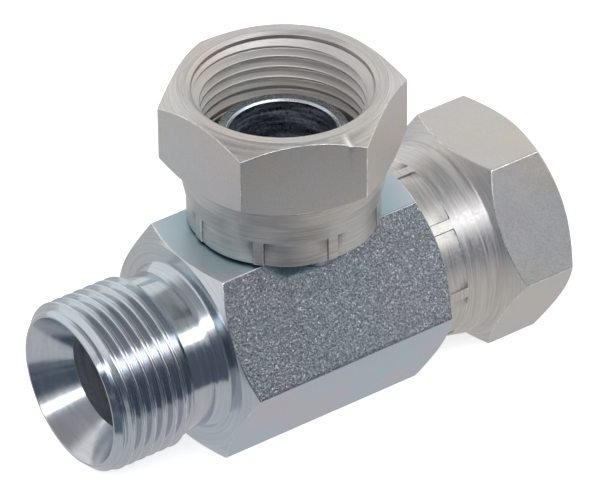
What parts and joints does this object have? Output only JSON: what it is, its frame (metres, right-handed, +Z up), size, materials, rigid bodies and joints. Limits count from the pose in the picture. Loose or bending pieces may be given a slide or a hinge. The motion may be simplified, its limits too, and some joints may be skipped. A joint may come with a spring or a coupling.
{
  "type": "hydraulic tee fitting",
  "caption": "Hexagon-bar stud tee: threaded male stud on the run, with free-turning crimped swivel nuts on the run's other end and on the branch.",
  "frame": {"origin": "centre of the body's lower wrench flat, under the crossing of the run's and the branch's axes", "axes": "+X along the run towards the swivel nut, away from the male stud; +Z up the branch; +Y completes the set"},
  "size_m": [0.08, 0.037, 0.0549],
  "materials": {
    "body_zinc": "blue zinc plate over sawn and turned steel bar, one face pitted",
    "stem_zinc": "zinc plate over fine turned steel",
    "nut_zinc": "satin zinc plate over turned and milled steel",
    "filler": "brazing filler as run"
  },
  "bodies": {
    "fitting": {"tee_body": "body_zinc", "branch_stem": "stem_zinc", "run_stem": "stem_zinc", "branch_braze_ring": "filler", "run_braze_ring": "filler"},
    "branch_nut": {"branch_nut": "nut_zinc"},
    "run_nut": {"run_nut": "nut_zinc"}
  },
  "joints": [
    {"name": "branch_swivel", "type": "hinge", "parent": "fitting", "child": "branch_nut", "pos_m": [0, 0, 0.0436], "axis": [0, 0, 1], "continuous": true},
    {"name": "run_swivel", "type": "hinge", "parent": "fitting", "child": "run_nut", "pos_m": [0.0304, 0, 0.016], "axis": [1, 0, 0], "continuous": true}
  ]
}
